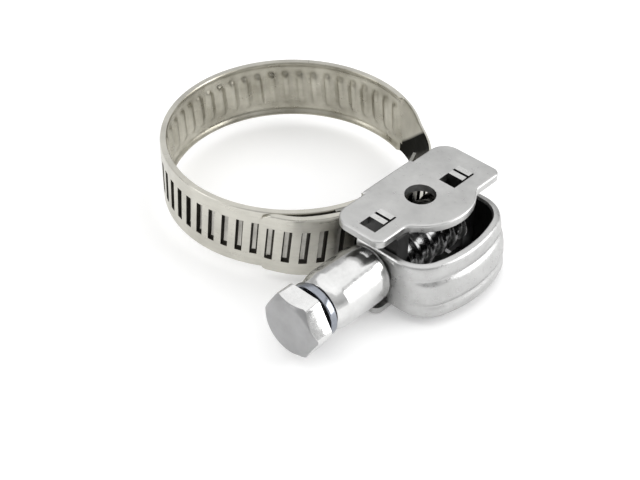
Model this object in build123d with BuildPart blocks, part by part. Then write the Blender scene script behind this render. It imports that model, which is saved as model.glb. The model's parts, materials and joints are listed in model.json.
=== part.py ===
from build123d import *
import os
from math import atan, atan2, ceil, cos, degrees, pi, radians, sin, sqrt, tan

# Worm-drive hose clamp with a pressed-thread band and a bow-strap housing.
# Millimetres. Origin at the centre of the ring, half-way up the band. +Z is the axis of the hose,
# +X points from the ring's centre to the housing, and the screw's hex head faces -Y.

os.makedirs("parts", exist_ok=True)

# ---- band ----
hose_radius = 23.5
band_width = 12.7
band_thickness = 1.3
thread_pitch = 3.175
groove_depth = 0.8
groove_width = 1.55
groove_length = 6.9
fixed_end_angle = -8.0
far_end_angle = 41.0
tail_start_angle = 48.0
tail_end_angle = -58.2
groove_margin = 0.6

# ---- saddle ----
saddle_thickness = 0.6
saddle_front_angle = -28.0
saddle_weld_angle = 13.0
liner_thickness = 0.6
liner_end_angle = 27.0
liner_gap_angle = 0.5
rivet_radius = 1.1
rivet_spacing = 6.0
rivet_angle = -17.0

# ---- housing plates ----
plate_thickness = 1.45
gap_over_band = 1.1
plate_edge_round = 0.4
sight_hole_radius = 2.85
inner_step = 0.6
inner_step_half = 6.6
lobe_half_length = 15.2
front_lobe_depth = 11.8
rear_lobe_depth = 14.2
nose_depth = 17.0
nose_half_width = 8.0
nose_lean = 0.5
lobe_round = 3.5
corner_round = 1.6
notch_round = 2.2

# ---- bearings ----
bearing_length = 3.0
bearing_depth = 8.6
tab_width = 3.2
tab_slit = 0.55
tab_slit_depth = 1.2
tab_stand = 0.25
slot_window = 2.2
front_tab_shift = -0.6
rear_tab_shift = 1.4

# ---- bow strap ----
bow_wall = 1.5
bow_half_length = 12.5
bow_top = 3.8
bow_reach_top = 12.9
bow_reach_bottom = 14.6
bow_leg_reach = 3.6
bow_corner = 6.5
bow_front_radius = 25.0

# ---- screw ----
screw_height = -1.0
worm_radius = 5.3
worm_thread_height = 0.95
worm_crest = 0.7
worm_root = 1.45
thread_sink = 0.2
worm_engagement = 0.6
shank_radius = 3.0
barrel_radius = 5.6
barrel_length = 13.6
barrel_taper = 2.4
barrel_nose_radius = 4.6
barrel_shoulder = 1.2
barrel_shoulder_radius = 4.5
collar_radius = 5.2
collar_length = 1.5
neck_radius = 3.9
neck_length = 0.9
head_across_flats = 11.1
head_length = 4.4
head_chamfer = 0.8
head_chamfer_slope = 0.6
tip_flange_radius = 3.7
tip_flange = 0.5

# ---- clearances ----
seat_gap = 0.05
running_gap = 0.12
bearing_gap = 0.06
end_gap = 0.15
slot_gap = 0.2
edge_gap = 0.1

# ---- worked out ----
ring_outer = hose_radius + band_thickness
saddle_inner = ring_outer + seat_gap
saddle_outer = saddle_inner + saddle_thickness
tail_inner = saddle_outer + running_gap
tail_outer = tail_inner + band_thickness
mesh_radius = tail_outer - worm_engagement / 2
pitch_angle = degrees(thread_pitch / mesh_radius)
groove_lean = degrees(atan(thread_pitch / (2 * pi * (worm_radius - worm_engagement / 2))))
worm_x = tail_outer - worm_engagement + worm_radius
housing_edge = hose_radius + edge_gap
liner_outer = hose_radius + liner_thickness
liner_start_angle = fixed_end_angle + liner_gap_angle
housing_gap = band_width + gap_over_band
half_gap = housing_gap / 2
plate_top = half_gap + plate_thickness
leg_inner = bow_half_length - bow_wall
bearing_outer = leg_inner - seat_gap
bearing_inner = bearing_outer - bearing_length
worm_half = bearing_inner - end_gap
bow_leg_end = worm_x - bow_leg_reach


def arc_strip(inner, outer, start, end, height):
    """A flat strip bent round the Z axis, from one angle to another, centred on Z = 0."""
    middle = (start + end) / 2

    def at(radius, angle):
        return (radius * cos(radians(angle)), radius * sin(radians(angle)))

    with BuildSketch(Plane.XY.offset(-height / 2)) as profile:
        with BuildLine():
            ThreePointArc(at(outer, start), at(outer, middle), at(outer, end))
            Line(at(outer, end), at(inner, end))
            ThreePointArc(at(inner, end), at(inner, middle), at(inner, start))
            Line(at(inner, start), at(outer, start))
        make_face()
    extrude(profile.sketch, amount=height)


def press_thread(radius, angles):
    """Leaning grooves, as long as the worm is wide, pressed into the outside of a bent strip."""
    for angle in angles:
        radial = (cos(radians(angle)), sin(radians(angle)), 0)
        tangent = (-sin(radians(angle)), cos(radians(angle)), 0)
        centre = (radius * radial[0], radius * radial[1], 0)
        with BuildSketch(Plane(origin=centre, x_dir=tangent, z_dir=radial)) as groove:
            Rectangle(groove_width, groove_length, rotation=-groove_lean)
        extrude(groove.sketch, amount=-groove_depth, mode=Mode.SUBTRACT)


def groove_angles(start, end):
    """Angles of the grooves between two angles, one of them at zero, where the worm meets the band."""
    first = int((start + pitch_angle * groove_margin) // pitch_angle) + 1
    last = int((end - pitch_angle * groove_margin) // pitch_angle)
    return [number * pitch_angle for number in range(first, last + 1)]


def rivets(radius, start, end, mode):
    """Round pins through the strips, one above the other, from one distance to another."""
    radial = (cos(radians(rivet_angle)), sin(radians(rivet_angle)), 0)
    tangent = (-sin(radians(rivet_angle)), cos(radians(rivet_angle)), 0)
    base = (start * radial[0], start * radial[1], 0)
    with BuildSketch(Plane(origin=base, x_dir=tangent, z_dir=radial)) as pins:
        with GridLocations(0, rivet_spacing, 1, 2):
            Circle(radius)
    extrude(pins.sketch, amount=end - start, mode=mode)


def shaft(sections):
    """Round or tapered lengths along the screw's axis, each (start, end, radius, end radius)."""
    for start, end, radius, end_radius in sections:
        with BuildSketch(Plane.XY.offset(screw_height)) as half:
            with BuildLine():
                Polyline(
                    (worm_x, start),
                    (worm_x + radius, start),
                    (worm_x + end_radius, end),
                    (worm_x, end),
                    close=True,
                )
            make_face()
        revolve(half.sketch, axis=screw_axis)


def screw_plane(y):
    """Plane across the screw, facing away from its head."""
    return Plane(origin=(worm_x, y, screw_height), x_dir=(1, 0, 0), z_dir=(0, 1, 0))


screw_axis = Axis((worm_x, 0, screw_height), (0, 1, 0))


# ---- band: the ring, from its far end at the housing round to the end fixed under the housing ----
with BuildPart() as ring_band:
    arc_strip(hose_radius, ring_outer, far_end_angle, 360 + fixed_end_angle, band_width)
    press_thread(ring_outer, groove_angles(far_end_angle, 360 + rivet_angle - pitch_angle))
    rivets(rivet_radius + seat_gap, hose_radius - saddle_thickness, saddle_outer, Mode.SUBTRACT)
ring_band.part.label = "ring_band"

# ---- band: the free end, through the housing and out over the ring on the head side ----
with BuildPart() as band_tail:
    arc_strip(tail_inner, tail_outer, tail_end_angle, tail_start_angle, band_width)
    press_thread(tail_outer, groove_angles(tail_end_angle, tail_start_angle))
band_tail.part.label = "band_tail"

# ---- saddle: bridge between the plates, its middle as high as the gap between them ----
# A liner at the bore's radius carries on from it, inside the strip that leaves for the housing.
with BuildPart() as saddle:
    arc_strip(saddle_inner, saddle_outer, saddle_front_angle, saddle_weld_angle, band_width)
    arc_strip(saddle_inner, saddle_outer, -saddle_weld_angle, saddle_weld_angle, housing_gap)
    arc_strip(hose_radius, saddle_outer, liner_start_angle, saddle_weld_angle, band_width)
    arc_strip(hose_radius, liner_outer, liner_start_angle, liner_end_angle, band_width)
    rivets(rivet_radius + seat_gap, hose_radius, saddle_outer + saddle_thickness, Mode.SUBTRACT)
saddle.part.label = "saddle"

# ---- rivets that hold the fixed end of the band to the saddle, flush on both sides ----
with BuildPart() as band_rivets:
    rivets(rivet_radius, hose_radius + seat_gap, saddle_outer - seat_gap, Mode.ADD)
band_rivets.part.label = "band_rivets"


# ---- housing plates ----
front_edge = -lobe_half_length
rear_edge = lobe_half_length
front_lobe_x = housing_edge + front_lobe_depth
rear_lobe_x = housing_edge + rear_lobe_depth
nose_x = housing_edge + nose_depth
front_tab_x = worm_x + front_tab_shift
rear_tab_x = worm_x + rear_tab_shift
slot_half = (tab_width + 2 * slot_gap) / 2
slot_length = bearing_length + 2 * slot_gap + slot_window
slot_y = (bearing_inner + bearing_outer) / 2
window_shift = slot_window / 2


def housing_plate(bottom):
    """One lobed plate: straight inner edge, a lobe at each end and a round nose between them."""
    with BuildSketch(Plane.XY.offset(bottom)) as outline:
        with BuildLine():
            FilletPolyline(
                (housing_edge + inner_step, 0),
                (housing_edge + inner_step, front_edge),
                (front_lobe_x, front_edge),
                (front_lobe_x, -nose_half_width),
                radius=(lobe_round, corner_round),
            )
            ThreePointArc(
                (front_lobe_x, -nose_half_width), (nose_x, nose_lean), (rear_lobe_x, nose_half_width)
            )
            FilletPolyline(
                (rear_lobe_x, nose_half_width),
                (rear_lobe_x, rear_edge),
                (housing_edge + inner_step, rear_edge),
                (housing_edge + inner_step, 0),
                radius=(corner_round, lobe_round),
            )
        make_face()
        notches = outline.vertices().filter_by(
            lambda corner: abs(abs(corner.Y) - nose_half_width) < edge_gap and corner.X > worm_x
        )
        fillet(notches, notch_round)
        with Locations((housing_edge + inner_step, 0)):
            Rectangle(2 * inner_step, 2 * inner_step_half)
        with Locations((worm_x, 0)):
            Circle(sight_hole_radius, mode=Mode.SUBTRACT)
        with Locations((front_tab_x, -slot_y - window_shift), (rear_tab_x, slot_y - window_shift)):
            Rectangle(2 * slot_half, slot_length, mode=Mode.SUBTRACT)
    extrude(outline.sketch, amount=plate_thickness)


with BuildPart() as top_plate:
    housing_plate(half_gap)
    fillet(top_plate.faces().sort_by(Axis.Z)[-1].outer_wire().edges(), plate_edge_round)
top_plate.part.label = "top_plate"

with BuildPart() as bottom_plate:
    housing_plate(-plate_top)
    fillet(bottom_plate.faces().sort_by(Axis.Z)[0].outer_wire().edges(), plate_edge_round)
bottom_plate.part.label = "bottom_plate"


# ---- bearings: cross walls that carry the screw, with split tabs staked in the plates' slots ----
def bearing(near, tab_x):
    """A wall between the plates, its tabs a little proud of them and split along their length."""
    middle = near + bearing_length / 2
    with BuildSketch(Plane.XY.offset(-half_gap)) as wall:
        with Locations((worm_x, middle)):
            Rectangle(bearing_depth, bearing_length)
    extrude(wall.sketch, amount=housing_gap)
    with BuildSketch(Plane.XY.offset(-plate_top - tab_stand)) as tabs:
        with Locations((tab_x, middle)):
            Rectangle(tab_width, bearing_length)
    extrude(tabs.sketch, amount=2 * (plate_top + tab_stand))
    for height in (plate_top + tab_stand, -plate_top - tab_stand + tab_slit_depth):
        with BuildSketch(Plane.XY.offset(height)) as slit:
            with Locations((tab_x, middle)):
                Rectangle(tab_width, tab_slit)
        extrude(slit.sketch, amount=-tab_slit_depth, mode=Mode.SUBTRACT)
    with BuildSketch(screw_plane(near)) as journal:
        Circle(shank_radius + bearing_gap)
    extrude(journal.sketch, amount=bearing_length, mode=Mode.SUBTRACT)


with BuildPart() as front_bearing:
    bearing(-bearing_outer, front_tab_x)
front_bearing.part.label = "front_bearing"

with BuildPart() as rear_bearing:
    bearing(bearing_inner, rear_tab_x)
rear_bearing.part.label = "rear_bearing"


# ---- bow strap: U round the worm, leaning outward towards its lower rim ----
def bow_outline(height, nose, wall):
    """The U's outline in plan at one height, moved in by a wall's thickness, all arcs tangent."""
    side = bow_half_length - wall
    corner = bow_corner - wall
    front = bow_front_radius - wall
    front_centre = nose - bow_front_radius
    corner_x = front_centre + sqrt((front - corner) ** 2 - (side - corner) ** 2)
    turn = atan2(side - corner, corner_x - front_centre)
    half_turn = (pi / 2 + turn) / 2
    meet = (front_centre + front * cos(turn), front * sin(turn))
    bend = (corner_x + corner * cos(half_turn), side - corner + corner * sin(half_turn))
    with BuildSketch(Plane.XY.offset(height)) as outline:
        with BuildLine():
            Line((bow_leg_end, side), (bow_leg_end, -side))
            Line((bow_leg_end, -side), (corner_x, -side))
            ThreePointArc((corner_x, -side), (bend[0], -bend[1]), (meet[0], -meet[1]))
            ThreePointArc((meet[0], -meet[1]), (front_centre + front, 0), meet)
            ThreePointArc(meet, bend, (corner_x, side))
            Line((corner_x, side), (bow_leg_end, side))
        make_face()
    return outline.sketch


bow_bottom = seat_gap - half_gap
bow_nose_top = worm_x + bow_reach_top
bow_nose_bottom = worm_x + bow_reach_bottom
with BuildPart() as bow_strap:
    loft([bow_outline(bow_bottom, bow_nose_bottom, 0), bow_outline(bow_top, bow_nose_top, 0)])
    loft(
        [bow_outline(bow_bottom, bow_nose_bottom, bow_wall), bow_outline(bow_top, bow_nose_top, bow_wall)],
        mode=Mode.SUBTRACT,
    )
    with BuildSketch(screw_plane(-bow_half_length)):
        Circle(shank_radius + bearing_gap)
    extrude(amount=2 * bow_half_length, mode=Mode.SUBTRACT)
bow_strap.part.label = "bow_strap"

# ---- screw: hex head, neck, collar, barrel and shank in one ----
barrel_end = -bow_half_length - end_gap
barrel_start = barrel_end - barrel_length
collar_end = barrel_start - neck_length / 2
collar_start = collar_end - collar_length
neck_start = collar_start - neck_length
head_face = neck_start - head_length
head_radius = head_across_flats / 2 / cos(radians(30))
tip_start = bow_half_length + end_gap
shoulder_start = barrel_end - barrel_shoulder

with BuildPart() as hex_screw:
    shaft(
        [
            (neck_start, barrel_start, neck_radius, neck_radius),
            (collar_start, collar_end, collar_radius, collar_radius),
            (barrel_start, barrel_start + barrel_taper, barrel_nose_radius, barrel_radius),
            (barrel_start + barrel_taper, shoulder_start, barrel_radius, barrel_radius),
            (shoulder_start, barrel_end, barrel_radius, barrel_shoulder_radius),
            (barrel_end, tip_start, shank_radius, shank_radius),
            (tip_start, tip_start + tip_flange, tip_flange_radius, tip_flange_radius - tip_flange / 2),
        ]
    )
    with BuildSketch(screw_plane(head_face)):
        RegularPolygon(head_radius, 6)
    extrude(amount=head_length)
    with BuildSketch(Plane.XY.offset(screw_height)):
        with BuildLine():
            Polyline(
                (worm_x + head_radius - head_chamfer, head_face),
                (worm_x + head_radius + head_chamfer, head_face),
                (worm_x + head_radius + head_chamfer, head_face + 2 * head_chamfer * head_chamfer_slope),
                close=True,
            )
        make_face()
    revolve(axis=screw_axis, mode=Mode.SUBTRACT)
hex_screw.part.label = "hex_screw"

# ---- worm: threaded sleeve pressed on the shank ----
# The thread starts above the axis and comes round to the band three quarters of a turn later, where
# its crests lie on whole pitches from where the leaning grooves cross the screw's height.
worm_core = worm_radius - worm_thread_height
groove_shift = screw_height * tan(radians(groove_lean))
thread_start = groove_shift - (ceil(worm_half / thread_pitch) + 0.75) * thread_pitch
with BuildPart() as worm_sleeve:
    with BuildLine():
        thread_line = Helix(
            thread_pitch,
            2 * worm_half + 2 * thread_pitch,
            worm_core,
            center=(worm_x, thread_start, screw_height),
            direction=(0, 1, 0),
        )
    with BuildSketch(Plane(origin=thread_line @ 0, x_dir=(0, 0, 1), z_dir=thread_line % 0)):
        with BuildLine():
            Polyline(
                (-thread_sink, -worm_root / 2),
                (worm_thread_height, -worm_crest / 2),
                (worm_thread_height, worm_crest / 2),
                (-thread_sink, worm_root / 2),
                close=True,
            )
        make_face()
    sweep(path=thread_line, is_frenet=True)
    with BuildSketch(screw_plane(-worm_half)):
        Circle(2 * worm_radius)
    extrude(amount=2 * worm_half, mode=Mode.INTERSECT)
    with BuildSketch(screw_plane(-worm_half)):
        Circle(worm_core)
    extrude(amount=2 * worm_half)
    with BuildSketch(screw_plane(-worm_half)):
        Circle(shank_radius)
    extrude(amount=2 * worm_half, mode=Mode.SUBTRACT)
worm_sleeve.part.label = "worm_sleeve"

for piece in (
    ring_band,
    band_tail,
    saddle,
    band_rivets,
    top_plate,
    bottom_plate,
    front_bearing,
    rear_bearing,
    bow_strap,
    hex_screw,
    worm_sleeve,
):
    export_step(piece.part, f"parts/{piece.part.label}.step")
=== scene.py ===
"""The looks of the worm-drive hose clamp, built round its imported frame. Metres, Z up."""

import json
import math

import bmesh
import bpy
from mathutils import Matrix, Vector


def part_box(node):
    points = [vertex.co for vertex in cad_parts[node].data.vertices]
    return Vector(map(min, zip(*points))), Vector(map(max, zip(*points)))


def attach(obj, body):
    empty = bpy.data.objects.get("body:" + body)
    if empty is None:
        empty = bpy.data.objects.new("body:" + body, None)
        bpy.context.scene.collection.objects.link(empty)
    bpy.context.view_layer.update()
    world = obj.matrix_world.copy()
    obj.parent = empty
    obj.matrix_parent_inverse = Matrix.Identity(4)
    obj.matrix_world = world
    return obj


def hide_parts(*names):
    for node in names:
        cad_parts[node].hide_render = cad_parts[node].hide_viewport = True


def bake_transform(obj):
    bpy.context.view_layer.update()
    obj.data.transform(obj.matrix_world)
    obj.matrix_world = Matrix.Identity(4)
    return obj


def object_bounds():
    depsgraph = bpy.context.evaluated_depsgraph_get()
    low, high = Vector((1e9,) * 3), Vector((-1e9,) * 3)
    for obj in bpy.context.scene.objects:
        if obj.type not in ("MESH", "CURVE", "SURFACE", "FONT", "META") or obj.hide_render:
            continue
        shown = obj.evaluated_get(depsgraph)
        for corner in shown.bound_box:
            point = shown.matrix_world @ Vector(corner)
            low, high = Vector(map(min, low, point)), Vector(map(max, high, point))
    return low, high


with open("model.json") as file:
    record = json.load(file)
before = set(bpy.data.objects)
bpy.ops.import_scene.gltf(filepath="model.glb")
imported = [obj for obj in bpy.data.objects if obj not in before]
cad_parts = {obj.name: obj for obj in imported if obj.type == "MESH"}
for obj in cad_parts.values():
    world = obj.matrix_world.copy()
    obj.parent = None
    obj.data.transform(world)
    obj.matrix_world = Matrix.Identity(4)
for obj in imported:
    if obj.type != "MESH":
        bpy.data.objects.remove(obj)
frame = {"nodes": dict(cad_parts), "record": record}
cad_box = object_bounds()

MM = 0.001

# ---- sizes, from the frame ----
RING_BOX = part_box("ring_band")
TAIL_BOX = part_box("band_tail")
SCREW_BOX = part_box("hex_screw")
WORM_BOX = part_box("worm_sleeve")
BOW_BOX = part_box("bow_strap")
PLATE_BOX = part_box("top_plate")
MOUNTS = {mount["name"]: mount for mount in frame["record"]["mounts"]}

RING_OUTER = RING_BOX[1].y
RING_INNER = MOUNTS["hose_bore"]["dims"]["r_mm"] * MM
HALF_WIDTH = RING_BOX[1].z
TAIL_OUTER = TAIL_BOX[1].x
STRIP = RING_OUTER - RING_INNER
WORM_X = (SCREW_BOX[0].x + SCREW_BOX[1].x) / 2
SCREW_Z = (WORM_BOX[0].z + WORM_BOX[1].z) / 2
WORM_RADIUS = (WORM_BOX[1].x - WORM_BOX[0].x) / 2
WORM_HALF = WORM_BOX[1].y
FLOOR_Z = cad_box[0].z

THREAD_PITCH = 3.175 * MM
MESH_RADIUS = TAIL_OUTER - 0.3 * MM
PITCH_ANGLE = THREAD_PITCH / MESH_RADIUS
LEAN = THREAD_PITCH / (2 * math.pi * (WORM_RADIUS - 0.3 * MM))


# ---- mesh helpers ----
def new_object(name, verts, faces, smooth_angle=35):
    """A mesh object from plain lists, smooth shaded with sharp edges kept past an angle."""
    mesh = bpy.data.meshes.new(name)
    mesh.from_pydata(verts, [], faces)
    mesh.validate()
    built = bmesh.new()
    built.from_mesh(mesh)
    bmesh.ops.remove_doubles(built, verts=built.verts, dist=1e-7)
    bmesh.ops.recalc_face_normals(built, faces=built.faces)
    built.to_mesh(mesh)
    built.free()
    shape = bpy.data.objects.new(name, mesh)
    bpy.context.scene.collection.objects.link(shape)
    shade(shape, smooth_angle)
    return shape


def shade(shape, smooth_angle=35):
    """Smooth shading that keeps edges sharper than an angle."""
    mesh = shape.data
    mesh.shade_smooth()
    mesh.set_sharp_from_angle(angle=math.radians(smooth_angle))


def round_screw(radius, angle, along):
    """A point at a radius and angle round the screw's axis, and a distance along it."""
    return (WORM_X + radius * math.cos(angle), along, SCREW_Z + radius * math.sin(angle))


def lathe(name, outline, steps=128, smooth_angle=35):
    """A closed outline of (along Y, radius) turned about the screw's axis."""
    verts = []
    for step in range(steps):
        angle = 2 * math.pi * step / steps
        for along, radius in outline:
            verts.append(round_screw(radius, angle, along))
    rows = len(outline)
    faces = []
    for step in range(steps):
        here = step * rows
        there = ((step + 1) % steps) * rows
        for row in range(rows):
            after = (row + 1) % rows
            faces.append((here + row, here + after, there + after, there + row))
    return new_object(name, verts, faces, smooth_angle)


def bevel(shape, width, segments=3, angle=40):
    """Rounded edges, as tumbling leaves them."""
    modifier = shape.modifiers.new("rounded_edges", "BEVEL")
    modifier.width = width
    modifier.segments = segments
    modifier.limit_method = "ANGLE"
    modifier.angle_limit = math.radians(angle)
    modifier.harden_normals = True
    return shape


def step_between(value, low, high):
    """0 below low, 1 above high, smooth between."""
    share = min(max((value - low) / (high - low), 0.0), 1.0)
    return share * share * (3 - 2 * share)


# ---- materials ----
def node_material(name):
    """An empty node material with its Principled shader."""
    material = bpy.data.materials.new(name)
    material.use_nodes = True
    shader = material.node_tree.nodes["Principled BSDF"]
    return material, material.node_tree, shader


def noise(tree, coords, scale, detail=3.0, stretch=(1, 1, 1), roughness=0.55):
    """Noise in object space, stretched along the axes."""
    mapping = tree.nodes.new("ShaderNodeMapping")
    mapping.inputs["Scale"].default_value = stretch
    tree.links.new(coords, mapping.inputs["Vector"])
    texture = tree.nodes.new("ShaderNodeTexNoise")
    texture.inputs["Scale"].default_value = scale
    texture.inputs["Detail"].default_value = detail
    texture.inputs["Roughness"].default_value = roughness
    tree.links.new(mapping.outputs["Vector"], texture.inputs["Vector"])
    return texture.outputs["Fac"]


def ramp(tree, value, stops):
    """Colours along a value."""
    node = tree.nodes.new("ShaderNodeValToRGB")
    elements = node.color_ramp.elements
    while len(elements) < len(stops):
        elements.new(0.5)
    for element, (place, colour) in zip(elements, stops):
        element.position = place
        element.color = (*colour, 1.0)
    tree.links.new(value, node.inputs["Fac"])
    return node.outputs["Color"]


def remap(tree, value, low, high, from_low=0.3, from_high=0.7):
    """A value's range moved to another range."""
    node = tree.nodes.new("ShaderNodeMapRange")
    node.inputs["From Min"].default_value = from_low
    node.inputs["From Max"].default_value = from_high
    node.inputs["To Min"].default_value = low
    node.inputs["To Max"].default_value = high
    tree.links.new(value, node.inputs["Value"])
    return node.outputs["Result"]


def bump(tree, shader, heights):
    """Stacked bumps, each (height, strength, distance)."""
    normal = None
    for height, strength, distance in heights:
        node = tree.nodes.new("ShaderNodeBump")
        node.inputs["Strength"].default_value = strength
        node.inputs["Distance"].default_value = distance
        tree.links.new(height, node.inputs["Height"])
        if normal is not None:
            tree.links.new(normal, node.inputs["Normal"])
        normal = node.outputs["Normal"]
    tree.links.new(normal, shader.inputs["Normal"])


def ring_coords(tree):
    """Coordinates that follow the band: round the hose, along it, and outward, in metres."""
    position = tree.nodes.new("ShaderNodeTexCoord").outputs["Object"]
    split = tree.nodes.new("ShaderNodeSeparateXYZ")
    tree.links.new(position, split.inputs["Vector"])
    angle = tree.nodes.new("ShaderNodeMath")
    angle.operation = "ARCTAN2"
    tree.links.new(split.outputs["Y"], angle.inputs[0])
    tree.links.new(split.outputs["X"], angle.inputs[1])
    arc = tree.nodes.new("ShaderNodeMath")
    arc.operation = "MULTIPLY"
    arc.inputs[1].default_value = RING_OUTER
    tree.links.new(angle.outputs["Value"], arc.inputs[0])
    joined = tree.nodes.new("ShaderNodeCombineXYZ")
    tree.links.new(arc.outputs["Value"], joined.inputs["X"])
    tree.links.new(split.outputs["Z"], joined.inputs["Y"])
    return joined.outputs["Vector"]


# Painted shade: a near-black patch with a slanting top edge on the strip's inside by the housing, standing
# for the shadow there.
PAINTED_SHADE_SLANT = 1.15
PAINTED_SHADE_EDGE = (25.4 * MM, 26.3 * MM)
PAINTED_SHADE_FADE = (15.0 * MM, 21.0 * MM)
PAINTED_SHADE_FADED = 0.4


def shadowed(tree, shader, colour):
    """Painted shade where the strip leaves the ring for the housing, up to a slanting line across it."""
    split = tree.nodes.new("ShaderNodeSeparateXYZ")
    tree.links.new(ring_coords(tree), split.inputs["Vector"])
    slant = tree.nodes.new("ShaderNodeMath")
    slant.operation = "MULTIPLY_ADD"
    slant.inputs[1].default_value = PAINTED_SHADE_SLANT
    tree.links.new(split.outputs["Y"], slant.inputs[0])
    tree.links.new(split.outputs["X"], slant.inputs[2])
    front = remap(tree, slant.outputs["Value"], 0.0, 1.0, *PAINTED_SHADE_EDGE)
    back = remap(tree, slant.outputs["Value"], PAINTED_SHADE_FADED, 0.0, *PAINTED_SHADE_FADE)
    either = tree.nodes.new("ShaderNodeMath")
    either.operation = "MAXIMUM"
    tree.links.new(front, either.inputs[0])
    tree.links.new(back, either.inputs[1])
    edge = either.outputs["Value"]
    mix = tree.nodes.new("ShaderNodeMix")
    mix.data_type = "RGBA"
    mix.inputs["A"].default_value = (0.012, 0.012, 0.01, 1)
    tree.links.new(edge, mix.inputs["Factor"])
    tree.links.new(colour, mix.inputs["B"])
    tree.links.new(edge, shader.inputs["Metallic"])
    shader.inputs["IOR"].default_value = 1.02
    return mix.outputs["Result"]


def steel(
    name,
    light,
    dark,
    rough,
    coords=None,
    grain=(1, 1, 1),
    grain_scale=900,
    pits=0.0,
    wear=0.35,
    metal=1.0,
    over=None,
):
    """Bare stainless: cloudy tone, rolled or tumbled grain and fine pits; over adds a layer on top."""
    material, tree, shader = node_material(name)
    vector = coords(tree) if coords else tree.nodes.new("ShaderNodeTexCoord").outputs["Object"]
    clouds = noise(tree, vector, 160, 5.0)
    lines = noise(tree, vector, grain_scale, 4.0, grain)
    specks = noise(tree, vector, 2600, 2.0)
    tone = tree.nodes.new("ShaderNodeMix")
    tone.data_type = "FLOAT"
    tone.inputs["Factor"].default_value = wear
    tree.links.new(clouds, tone.inputs["A"])
    tree.links.new(lines, tone.inputs["B"])
    colour = ramp(tree, tone.outputs["Result"], [(0.3, dark), (0.7, light)])
    shader.inputs["Metallic"].default_value = metal
    if over:
        colour = over(tree, shader, colour)
    tree.links.new(colour, shader.inputs["Base Color"])
    roughness = remap(tree, lines, rough[0], rough[1])
    tree.links.new(roughness, shader.inputs["Roughness"])
    heights = [(lines, 0.25, 0.00003), (clouds, 0.2, 0.0002)]
    if pits:
        heights.append((ramp(tree, specks, [(0.28, (0, 0, 0)), (0.4, (1, 1, 1))]), pits, 0.00006))
    bump(tree, shader, heights)
    return material


BAND_STEEL = steel(
    "band_steel", (0.66, 0.645, 0.585), (0.47, 0.458, 0.41), (0.24, 0.42), ring_coords, (0.12, 1, 1), 1500
)
INNER_STEEL = steel(
    "band_inner",
    (0.58, 0.56, 0.485),
    (0.27, 0.255, 0.205),
    (0.24, 0.42),
    ring_coords,
    (0.5, 1, 1),
    500,
    wear=0.2,
)
# The band's inner steel with the painted shade patch of shadowed() laid over it.
CORNER_STEEL = steel(
    "band_corner",
    (0.58, 0.56, 0.485),
    (0.33, 0.315, 0.26),
    (0.3, 0.5),
    ring_coords,
    (0.5, 1, 1),
    500,
    over=shadowed,
)
# Groove walls are near black as painted shade in the pressed grooves; groove floors are a lighter, part
# non-metal copy as painted light on them.
GROOVE_WALL_SHADE = steel("groove_wall", (0.07, 0.066, 0.056), (0.03, 0.028, 0.024), (0.4, 0.6), pits=0.3)
GROOVE_FLOOR_LIT = steel(
    "groove_floor", (0.82, 0.80, 0.74), (0.30, 0.29, 0.26), (0.3, 0.5), pits=0.4, wear=0.2, metal=0.55
)
# The liner steel is darker than the plates, as painted shade for the dark gap where the strip leaves the
# ring.
LINER_STEEL = steel("liner_steel", (0.34, 0.335, 0.31), (0.2, 0.196, 0.18), (0.12, 0.25), pits=0.1)
PLATE_STEEL = steel("plate_steel", (0.60, 0.60, 0.59), (0.44, 0.44, 0.435), (0.26, 0.44), pits=0.12)
BOW_STEEL = steel("bow_steel", (0.56, 0.56, 0.555), (0.42, 0.42, 0.415), (0.24, 0.40), pits=0.2)
# Near-black steel: painted shade for the bow's inside and the screw's neck groove.
PAINTED_SHADE_STEEL = steel("dark_steel", (0.05, 0.05, 0.05), (0.02, 0.02, 0.02), (0.35, 0.6), pits=0.2)
# Bearings are near black as painted shade where they sit in the plates' slots and inside the housing.
BEARING_STEEL = steel("bearing_steel", (0.10, 0.10, 0.10), (0.05, 0.05, 0.05), (0.3, 0.5), pits=0.2)
TAB_STEEL = steel("tab_steel", (0.72, 0.72, 0.71), (0.5, 0.5, 0.49), (0.2, 0.4), pits=0.5)
# The worm is a dark steel as painted shade for lying inside the housing; its low roughness keeps glints.
WORM_STEEL = steel("worm_steel", (0.30, 0.30, 0.30), (0.14, 0.14, 0.14), (0.14, 0.3), pits=0.2)
SCREW_STEEL = steel("screw_steel", (0.74, 0.74, 0.735), (0.56, 0.56, 0.555), (0.10, 0.24), pits=0.08)
COLLAR_STEEL = steel("collar_steel", (0.34, 0.36, 0.40), (0.2, 0.21, 0.24), (0.12, 0.25), pits=0.1)
FACE_STEEL = steel(
    "head_face_steel", (0.42, 0.42, 0.425), (0.32, 0.32, 0.32), (0.32, 0.5), pits=0.15, wear=0.15
)


# ---- the band ----
GROOVE_HALF = 0.76 * MM
GROOVE_END = 3.45 * MM
GROOVE_DEPTH = 0.8 * MM
SHEET = 0.65 * MM
RIM = 1.0 * MM
LEAST_SHEET = 0.2 * MM
LEAST_FLOOR = 0.22 * MM
RIM_ROUND = 0.16 * MM
RIB_HEIGHT = 0.8
FREE_END_ANGLE = math.radians(-30)
FREE_END_GAP = 0.05 * MM
SETTLE_START = math.radians(-40)
SETTLE_END = math.radians(-62)
SETTLE_DEPTH = 1.5 * MM
END_MARGIN = 0.4
OUTER, WALL, FLOOR, INNER, CORNER = range(5)
JOGGLE_START = math.radians(52)
JOGGLE_END = math.radians(26)
LINER_END = math.radians(70)
TAIL_END = math.radians(-58.2)
TAIL_CORNER = 1.6 * MM
SEAM = math.radians(150)
RING_END = math.radians(352)
LAST_GROOVE = math.radians(336)


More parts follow.
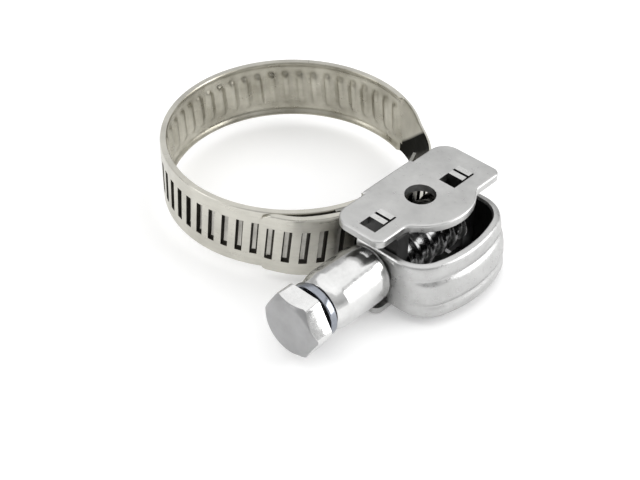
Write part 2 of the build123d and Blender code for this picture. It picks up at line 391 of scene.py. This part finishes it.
def groove_columns(start, end):
    """Angles along a strip, closer together at each groove's walls and at the strip's ends."""
    offsets = [-1.0, -0.93, -0.85, -0.66, -0.2, 0.36, 0.6, 0.85, 0.93, 1.0]
    places = {start, end}
    for reach in (0.08, 0.25, 0.55, 0.95, 1.3, 1.65):
        places.add(start + reach * MM / MESH_RADIUS)
    first = math.floor(start / PITCH_ANGLE)
    for number in range(first, math.ceil(end / PITCH_ANGLE) + 1):
        for offset in offsets:
            places.add(number * PITCH_ANGLE + offset * GROOVE_HALF / MESH_RADIUS)
        places.add((number + 0.5) * PITCH_ANGLE)
    return sorted(place for place in places if start <= place <= end)


def band_rows():
    """Heights across the strip, closer together at the rims and the grooves' ends."""
    upper = [0.0, 1.2, 2.4, 3.1, 3.34, 3.45, 3.56, 3.8, 4.4, 5.0, 5.35, 5.7, 6.0, 6.2, 6.3]
    heights = [value * MM for value in upper] + [HALF_WIDTH]
    return [-value for value in reversed(heights[1:])] + heights


def from_groove(angle):
    """Number of the nearest groove, and the signed distance from its middle."""
    number = round(angle / PITCH_ANGLE)
    return number, (angle - number * PITCH_ANGLE) * MESH_RADIUS


def band_walls(angle, height, radius, has_groove, thin, floor):
    """Outer and inner radius of the pressed strip at a point along and across it."""
    number, off = from_groove(angle)
    off = abs(off)
    pressed = 1.0 if has_groove(number) else 0.0
    wall = 1 - step_between(off, 0.84 * GROOVE_HALF, GROOVE_HALF)
    end = 1 - step_between(abs(height), 0.97 * GROOVE_END, 1.03 * GROOVE_END)
    soft_wall = 1 - step_between(off, 0.3 * GROOVE_HALF, 1.7 * GROOVE_HALF)
    soft_end = 1 - step_between(abs(height), 0.7 * GROOVE_END, 1.25 * GROOVE_END)
    rim = step_between(abs(height), HALF_WIDTH - 1.6 * RIM, HALF_WIDTH - 0.3 * RIM)
    solid = max(pressed * soft_wall * soft_end * RIB_HEIGHT, rim, 0.0)
    curl = max(abs(height) - (HALF_WIDTH - 0.32 * RIM), 0) / (0.32 * RIM)
    round_off = RIM_ROUND * curl ** 2
    depth = SHEET + (STRIP - SHEET) * solid * (1 - thin)
    inner = max(radius - depth, floor) + round_off
    groove = min(GROOVE_DEPTH, radius - inner - LEAST_FLOOR) * wall * end * pressed
    outer = radius - max(groove, 0.0) - round_off
    return outer, min(inner, outer - LEAST_SHEET)


def never_thin(angle):
    """The strip has its ribs and rims everywhere."""
    return 0.0


def band_strip(name, start, end, outer_radius, has_groove, thin=never_thin, over_ring=False, spread=1.0):
    """A pressed strip from one angle to another, its grid sheared to follow the leaning grooves.

    The spread scales the angles from the strip's start, after the grooves are placed.
    """
    columns = groove_columns(start, end)
    rows = band_rows()
    verts = []
    for angle in columns:
        edge = min(angle - start, end - angle) / PITCH_ANGLE
        shear = step_between(edge, 0.0, 0.2)
        reach = (angle - start) * MESH_RADIUS
        narrow = 0.0
        if over_ring and reach < TAIL_CORNER:
            narrow = TAIL_CORNER - math.sqrt(TAIL_CORNER ** 2 - (TAIL_CORNER - reach) ** 2)
        for height in rows:
            place = start + (angle - start + shear * LEAN * height / MESH_RADIUS) * spread
            radius = outer_radius(place)
            floor = RING_OUTER + FREE_END_GAP if over_ring and place < FREE_END_ANGLE else 0.0
            outer, inner = band_walls(angle, height, radius, has_groove, thin(place), floor)
            z = height * (1 - narrow / HALF_WIDTH)
            verts.append((outer * math.cos(place), outer * math.sin(place), z))
            verts.append((inner * math.cos(place), inner * math.sin(place), z))
    count = len(rows)
    faces = []
    for column in range(len(columns) - 1):
        for row in range(count - 1):
            a = 2 * (column * count + row)
            b = 2 * ((column + 1) * count + row)
            faces.append((a, b, b + 2, a + 2))
            faces.append((a + 1, a + 3, b + 3, b + 1))
        for row in (0, count - 1):
            a = 2 * (column * count + row)
            b = 2 * ((column + 1) * count + row)
            faces.append((a, a + 1, b + 1, b))
    for column in (0, len(columns) - 1):
        for row in range(count - 1):
            a = 2 * (column * count + row)
            faces.append((a, a + 2, a + 3, a + 1))
    strip = new_object(name, verts, faces, 30)
    for material in (BAND_STEEL, GROOVE_WALL_SHADE, GROOVE_FLOOR_LIT, INNER_STEEL, CORNER_STEEL):
        strip.data.materials.append(material)
    for face in strip.data.polygons:
        centre = face.center
        place = math.atan2(centre.y, centre.x)
        if place < start - 0.2:
            place += 2 * math.pi
        number, off = from_groove(start + (place - start) / spread - LEAN * centre.z / MESH_RADIUS)
        outward = face.normal.x * math.cos(place) + face.normal.y * math.sin(place)
        if outward < -0.2:
            # Inner faces by the housing take the corner steel, which carries the painted shade patch.
            in_corner = over_ring and math.radians(20) < place < LINER_END
            face.material_index = CORNER if in_corner else INNER
            continue
        inside = abs(off) < 0.99 * GROOVE_HALF and abs(centre.z) < 1.02 * GROOVE_END
        if not inside or not has_groove(number):
            continue
        # The floor's right part takes the dark wall steel: a painted shadow of the groove's right wall.
        on_floor = -0.7 * GROOVE_HALF < off < 0.4 * GROOVE_HALF and abs(centre.z) < 0.93 * GROOVE_END
        face.material_index = FLOOR if on_floor else WALL
    return strip


def run_radius(angle):
    """Outside of the strip that runs from the ring, out over the saddle, and back onto the ring."""
    rise = 1 - step_between(angle, JOGGLE_END, JOGGLE_START)
    settle = 1 - step_between(angle, SETTLE_END, SETTLE_START)
    return RING_OUTER + (TAIL_OUTER - RING_OUTER) * rise - SETTLE_DEPTH * settle


def run_thin(angle):
    """1 where the strip is plain sheet, beside the liner, and 0 where it has ribs and rims."""
    past_joggle = step_between(angle, JOGGLE_END - 0.06, JOGGLE_END)
    before_end = 1 - step_between(angle, LINER_END, LINER_END + 0.04)
    return past_joggle * before_end


def build_band():
    """The ring and the strip's free end, which the screw draws through the housing."""
    # The ring's grooves are spaced so that they carry on evenly from those of the free end over it.
    seam = (math.floor(SEAM / PITCH_ANGLE) + 0.5) * PITCH_ANGLE
    last_groove = math.floor(LAST_GROOVE / PITCH_ANGLE)
    first_groove = math.ceil((TAIL_END + END_MARGIN * PITCH_ANGLE) / PITCH_ANGLE)
    next_groove = (first_groove - 1) * PITCH_ANGLE + 2 * math.pi
    beside = math.floor((TAIL_END + 2 * math.pi) / PITCH_ANGLE) * PITCH_ANGLE
    spread = (next_groove - seam) / (beside - seam)
    ring_end = seam + (RING_END - seam) / spread
    ring = band_strip(
        "band_ring",
        seam,
        ring_end,
        lambda angle: RING_OUTER,
        lambda number: number <= last_groove,
        spread=spread,
    )
    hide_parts("ring_band")
    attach(ring, "housing")
    run = band_strip(
        "band_run", TAIL_END, seam, run_radius, lambda number: number >= first_groove, run_thin, True
    )
    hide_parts("band_tail")
    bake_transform(run)


build_band()


# ---- housing ----
def build_housing():
    """CAD plates, saddle, bearings and rivets with finished edges and metals."""
    finishes = {
        "top_plate": (PLATE_STEEL, 0.14 * MM),
        "bottom_plate": (PLATE_STEEL, 0.14 * MM),
        "front_bearing": (BEARING_STEEL, 0.1 * MM),
        "rear_bearing": (BEARING_STEEL, 0.1 * MM),
        "saddle": (LINER_STEEL, 0.05 * MM),
        "band_rivets": (SCREW_STEEL, 0.0),
    }
    plate_top = PLATE_BOX[1].z
    for node, (material, edge) in finishes.items():
        shape = frame["nodes"][node]
        shape.data.materials.clear()
        shape.data.materials.append(material)
        if "bearing" in node:
            shape.data.materials.append(TAB_STEEL)
            for face in shape.data.polygons:
                top = max((shape.matrix_world @ shape.data.vertices[index].co).z for index in face.vertices)
                if top > plate_top and face.normal.z > 0.5:
                    face.material_index = 1
        if edge:
            bevel(shape, edge)


build_housing()


# ---- bow strap ----
def build_bow():
    """The U strap: leaning walls, a shallow raised middle and rounded rims."""
    wall = 1.5 * MM
    half = BOW_BOX[1].y
    low, high = BOW_BOX[0].z, BOW_BOX[1].z
    leg_end = BOW_BOX[0].x
    nose_low = BOW_BOX[1].x
    nose_high = nose_low - 1.7 * MM
    front_radius = 25 * MM
    corner = 6.5 * MM

    def path(nose, inset, count):
        """Points of the U in plan, its wall moved in by inset."""
        side = half - inset
        bend = corner - inset
        front = front_radius - inset
        centre = nose - front_radius
        bend_x = centre + math.sqrt((front - bend) ** 2 - (side - bend) ** 2)
        turn = math.atan2(side - bend, bend_x - centre)
        points = [(leg_end + (bend_x - leg_end) * i / count, -side) for i in range(count)]
        for i in range(count):
            angle = -math.pi / 2 + (math.pi / 2 - turn) * i / count
            points.append((bend_x + bend * math.cos(angle), -(side - bend) + bend * math.sin(angle)))
        for i in range(2 * count + 1):
            angle = -turn + 2 * turn * i / (2 * count)
            points.append((centre + front * math.cos(angle), front * math.sin(angle)))
        points += [(x, -y) for x, y in reversed(points[: 2 * count])]
        return points

    rim = 0.35 * MM
    section = [
        (0.0, rim), (0.02, 0.1 * MM), (0.045, 0.0), (0.12, -0.1 * MM), (0.19, -0.04 * MM), (0.22, 0.14 * MM),
        (0.245, 0.12 * MM), (0.275, -0.12 * MM), (0.34, -0.32 * MM), (0.5, -0.38 * MM), (0.62, -0.32 * MM),
        (0.68, -0.12 * MM), (0.705, 0.12 * MM), (0.73, 0.14 * MM), (0.76, -0.04 * MM), (0.84, -0.12 * MM),
        (0.955, 0.0), (0.98, 0.1 * MM), (1.0, rim), (1.0, wall - rim), (0.98, wall - 0.1 * MM),
        (0.955, wall), (0.5, wall), (0.045, wall), (0.02, wall - 0.1 * MM), (0.0, wall - rim),
    ]
    count = 14
    paths = []
    for share, inset in section:
        nose = nose_low + (nose_high - nose_low) * share
        z = low + (high - low) * share
        edge = share < 0.05 or share > 0.95 or inset > 1.0 * MM
        bulge = 0.0 if edge else inset
        line = path(nose, inset if edge else 0.0, count)
        total = len(line)
        points = []
        for index, (x, y) in enumerate(line):
            fade = step_between(min(index, total - 1 - index), count * 1.0, count * 1.9)
            before = Vector(line[max(index - 1, 0)])
            after = Vector(line[min(index + 1, total - 1)])
            along = (after - before).normalized()
            outward = Vector((along.y, -along.x))
            shift = -bulge * fade
            points.append((x + outward.x * shift, y + outward.y * shift, z))
        paths.append(points)
    verts = [point for points in paths for point in points]
    total = len(paths[0])
    rows = len(paths)
    faces = []
    for row in range(rows):
        after = (row + 1) % rows
        for index in range(total - 1):
            here = row * total + index
            there = after * total + index
            faces.append((here, here + 1, there + 1, there))
    faces.append(tuple(row * total for row in range(rows)))
    faces.append(tuple(row * total + total - 1 for row in reversed(range(rows))))
    bow = new_object("bow", verts, faces, 40)
    bow.data.materials.append(BOW_STEEL)
    bow.data.materials.append(PAINTED_SHADE_STEEL)
    heart = Vector(((leg_end + nose_high) / 2, 0, 0))
    # Inward faces of the bow below its rim take the near-black steel as painted shade inside the housing.
    for face in bow.data.polygons:
        inward = (face.center - heart).xy.dot(face.normal.xy) < 0 and abs(face.normal.z) < 0.6
        if inward and face.center.z < high - 0.5 * MM:
            face.material_index = 1
    hole = lathe(
        "bow_hole",
        [(-2 * half, 0.0001 * MM), (-2 * half, 3.06 * MM), (2 * half, 3.06 * MM), (2 * half, 0.0001 * MM)],
        64,
    )
    cut = bow.modifiers.new("screw_holes", "BOOLEAN")
    cut.operation = "DIFFERENCE"
    cut.object = hole
    cut.solver = "EXACT"
    graph = bpy.context.evaluated_depsgraph_get()
    finished = bpy.data.meshes.new_from_object(bow.evaluated_get(graph))
    bow.modifiers.clear()
    bow.data = finished
    bpy.data.objects.remove(hole)
    shade(bow, 40)
    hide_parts("bow_strap")
    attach(bow, "housing")


build_bow()


# ---- screw ----
def fillet_outline(points, radius, steps=4):
    """Outline of (along, radius) points with its corners rounded, apart from those on the axis."""
    rounded = []
    total = len(points)
    for index, point in enumerate(points):
        if point[1] < 0.2 * MM:
            rounded.append(point)
            continue
        here = Vector(point)
        before = Vector(points[index - 1]) - here
        after = Vector(points[(index + 1) % total]) - here
        reach = min(radius, before.length * 0.45, after.length * 0.45)
        a = here + before.normalized() * reach
        b = here + after.normalized() * reach
        for step in range(steps + 1):
            t = step / steps
            rounded.append(tuple(a * (1 - t) ** 2 + here * 2 * t * (1 - t) + b * t * t))
    return rounded


def build_screw():
    """Hex head, neck, collar, barrel and shank, turned and rounded."""
    start = SCREW_BOX[0].y
    end = SCREW_BOX[1].y
    outer = (SCREW_BOX[1].z - SCREW_BOX[0].z) / 2
    head_end = start + 4.4 * MM
    collar_start = head_end + 0.9 * MM
    collar_end = collar_start + 1.5 * MM
    barrel_start = collar_end + 0.45 * MM
    barrel_end = -BOW_BOX[1].y - 0.15 * MM
    tip = end - 0.5 * MM
    axis = 0.0001 * MM
    outline = [
        (head_end - 0.5 * MM, axis),
        (head_end - 0.5 * MM, 3.9 * MM),
        (collar_start, 3.9 * MM),
        (collar_start, 5.2 * MM),
        (collar_end, 5.2 * MM),
        (collar_end, 3.9 * MM),
        (barrel_start, 3.9 * MM),
        (barrel_start, 4.6 * MM),
        (barrel_start + 0.8 * MM, 5.05 * MM),
        (barrel_start + 2.4 * MM, 5.5 * MM),
        (barrel_start + 5.0 * MM, outer),
        (barrel_end - 3.0 * MM, outer),
        (barrel_end - 1.3 * MM, 5.45 * MM),
        (barrel_end - 0.5 * MM, 4.9 * MM),
        (barrel_end, 4.3 * MM),
        (barrel_end, 3.0 * MM),
        (tip, 3.0 * MM),
        (tip, 3.7 * MM),
        (end, 3.4 * MM),
        (end, axis),
    ]
    body = lathe("screw_body", fillet_outline(outline, 0.3 * MM), 128, 50)
    body.data.materials.append(SCREW_STEEL)
    body.data.materials.append(PAINTED_SHADE_STEEL)
    body.data.materials.append(COLLAR_STEEL)
    for face in body.data.polygons:
        radius = math.hypot(face.center.x - WORM_X, face.center.z - SCREW_Z)
        # The neck between head and collar takes the near-black steel as painted shade in its groove.
        if face.center.y < barrel_start + 0.1 * MM:
            face.material_index = 1 if radius < 4.5 * MM else 2
    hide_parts("hex_screw")
    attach(body, "screw")

    flat = 11.1 * MM / 2
    corner = flat / math.cos(math.radians(30))
    steps = 120
    verts = []
    heights = 8
    for index in range(steps):
        angle = 2 * math.pi * index / steps
        turn = angle % math.radians(60) - math.radians(30)
        hexagon = flat / math.cos(turn)
        round_corner = min(hexagon, corner - 0.15 * MM)
        drop = (round_corner - flat) * 0.75
        ring = [
            (start, 0.86 * flat),
            (start + 0.05 * MM, 0.91 * flat),
            (start + 0.2 * MM, 0.96 * flat),
            (start + 0.42 * MM + drop, round_corner - 0.07 * MM),
            (start + 0.6 * MM + drop, round_corner),
            (head_end - 0.2 * MM, round_corner),
            (head_end, round_corner - 0.2 * MM),
            (head_end, 3.8 * MM),
        ]
        for along, radius in ring:
            verts.append(round_screw(radius, angle, along))
    faces = []
    for index in range(steps):
        here = index * heights
        there = ((index + 1) % steps) * heights
        for row in range(heights - 1):
            faces.append((here + row, here + row + 1, there + row + 1, there + row))
    faces.append(tuple(index * heights for index in range(steps)))
    faces.append(tuple(index * heights + heights - 1 for index in reversed(range(steps))))
    head = new_object("screw_head", verts, faces, 24)
    head.data.materials.append(SCREW_STEEL)
    head.data.materials.append(FACE_STEEL)
    for face in head.data.polygons:
        if face.normal.y < -0.5:
            face.material_index = 1
    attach(head, "screw")


def build_worm():
    """The threaded sleeve: a rounded trapezoid thread wound round its core."""
    core = WORM_RADIUS - 0.95 * MM
    per_turn = 64
    section = [
        (-0.5, 0.0), (-0.235, 0.0), (-0.205, 0.06), (-0.13, 0.9), (-0.105, 0.985), (-0.06, 1.0),
        (0.06, 1.0), (0.105, 0.985), (0.13, 0.9), (0.205, 0.06), (0.235, 0.0), (0.5, 0.0),
    ]

    def height_at(phase):
        """Thread height, 0 to 1, at a share of the pitch from the crest's middle."""
        for (a, low), (b, high) in zip(section, section[1:]):
            if a <= phase <= b:
                return low + (high - low) * (phase - a) / (b - a)
        return 0.0

    steps = 220
    verts = []
    for index in range(per_turn):
        angle = 2 * math.pi * index / per_turn
        for step in range(steps + 1):
            along = -WORM_HALF + 2 * WORM_HALF * step / steps
            phase = (along - LEAN * SCREW_Z) / THREAD_PITCH + (angle - math.pi) / (2 * math.pi)
            phase = (phase + 0.5) % 1.0 - 0.5
            radius = core + (WORM_RADIUS - core) * height_at(phase)
            verts.append(round_screw(radius, angle, along))
    faces = []
    rows = steps + 1
    for index in range(per_turn):
        here = index * rows
        there = ((index + 1) % per_turn) * rows
        for step in range(steps):
            faces.append((here + step, here + step + 1, there + step + 1, there + step))
    faces.append(tuple(index * rows for index in range(per_turn)))
    faces.append(tuple(index * rows + steps for index in reversed(range(per_turn))))
    worm = new_object("worm", verts, faces, 30)
    worm.data.materials.append(WORM_STEEL)
    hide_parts("worm_sleeve")
    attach(worm, "screw")


build_screw()
build_worm()


# ---- stage, light and camera ----
def build_stage():
    """A plain white floor, wide enough to fill any view."""
    size = 2.0
    verts = [(-size, -size, FLOOR_Z), (size, -size, FLOOR_Z), (size, size, FLOOR_Z), (-size, size, FLOOR_Z)]
    floor = new_object("floor", verts, [(0, 1, 2, 3)])
    material, tree, shader = node_material("floor_white")
    coords = tree.nodes.new("ShaderNodeTexCoord").outputs["Object"]
    tone = ramp(tree, noise(tree, coords, 3.0), [(0.3, (0.9, 0.9, 0.9)), (0.7, (0.93, 0.93, 0.93))])
    tree.links.new(tone, shader.inputs["Base Color"])
    shader.inputs["Roughness"].default_value = 0.9
    shader.inputs["Specular IOR Level"].default_value = 0.1
    tree.links.new(tone, shader.inputs["Emission Color"])
    shader.inputs["Emission Strength"].default_value = 0.2
    floor.data.materials.append(material)


def area_light(name, place, size, power, target=(0.01, 0, 0)):
    """A soft square light that looks at the clamp."""
    data = bpy.data.lights.new(name, "AREA")
    data.shape = "SQUARE"
    data.size = size
    data.energy = power
    light = bpy.data.objects.new(name, data)
    light.location = place
    light.rotation_euler = (Vector(target) - Vector(place)).to_track_quat("-Z", "Y").to_euler()
    bpy.context.scene.collection.objects.link(light)


def build_light():
    """Big soft sources above, so that the floor goes white and the metal takes broad reflections."""
    area_light("top", (-0.05, 0.08, 0.55), 1.0, 1.8)
    area_light("front_left", (-0.25, -0.45, 0.22), 0.22, 0.4)
    area_light("back_right", (0.40, 0.30, 0.17), 0.34, 1.4)
    world = bpy.data.worlds.new("studio")
    bpy.context.scene.world = world
    world.use_nodes = True
    tree = world.node_tree
    background = tree.nodes["Background"]
    background.inputs["Strength"].default_value = 1.0
    direction = tree.nodes.new("ShaderNodeTexCoord").outputs["Generated"]
    split = tree.nodes.new("ShaderNodeSeparateXYZ")
    tree.links.new(direction, split.inputs["Vector"])
    stops = [(0.0, 0.8), (0.15, 0.7), (0.3, 0.5), (0.64, 0.7), (0.9, 0.8)]
    shade_of_sky = ramp(tree, split.outputs["Z"], [(place, (tone, tone, tone)) for place, tone in stops])
    tree.links.new(shade_of_sky, background.inputs["Color"])


def build_camera():
    """At the photograph's viewing angle, above the screw's head and to its right."""
    place = Vector((0.1498, -0.1521, 0.1597))
    aim = Vector((0.0206, -0.0140, 0.0))
    camera = bpy.data.objects.new("camera", bpy.data.cameras.new("camera"))
    camera.data.lens = 78.2
    camera.data.sensor_width = 36
    camera.data.clip_start = 0.01
    camera.data.clip_end = 10
    look = (aim - place).to_track_quat("-Z", "Y").to_matrix()
    roll = Matrix.Rotation(math.radians(0.4), 3, "Z")
    camera.matrix_world = Matrix.Translation(place) @ (look @ roll).to_4x4()
    bpy.context.scene.collection.objects.link(camera)
    bpy.context.scene.camera = camera


build_stage()
build_light()
build_camera()
bpy.context.scene.view_settings.view_transform = "Standard"
